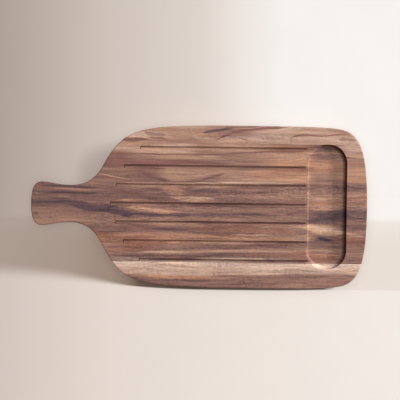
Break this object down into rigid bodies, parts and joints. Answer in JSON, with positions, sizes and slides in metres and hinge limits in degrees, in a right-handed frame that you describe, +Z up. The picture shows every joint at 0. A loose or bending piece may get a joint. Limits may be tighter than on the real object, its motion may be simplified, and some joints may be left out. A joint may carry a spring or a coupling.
{
  "type": "bread board",
  "caption": "Flat wooden bread board of edge-glued staves with a waisted handle, crumb grooves along the grain and a crumb tray across the broad end.",
  "frame": {"origin": "middle of the board's length and width, on the underside it lies on", "axes": "+X along the grain from the handle to the crumb tray, +Y across the board to the far long edge, +Z up out of the grooved face"},
  "size_m": [0.48, 0.232, 0.018],
  "materials": {
    "near_edge_wood": "oiled pale sapwood",
    "near_wood": "oiled red-brown heartwood",
    "middle_wood": "oiled grey-brown heartwood",
    "far_wood": "oiled reddish tan heartwood",
    "far_edge_wood": "oiled light curly heartwood",
    "glue": "cured wood glue, scraped flush"
  },
  "bodies": {
    "root": {"near_edge_stave": "near_edge_wood", "near_stave": "near_wood", "middle_stave": "middle_wood", "far_stave": "far_wood", "far_edge_stave": "far_edge_wood", "near_edge_glue_line": "glue", "near_glue_line": "glue", "far_glue_line": "glue", "far_edge_glue_line": "glue"}
  },
  "joints": []
}
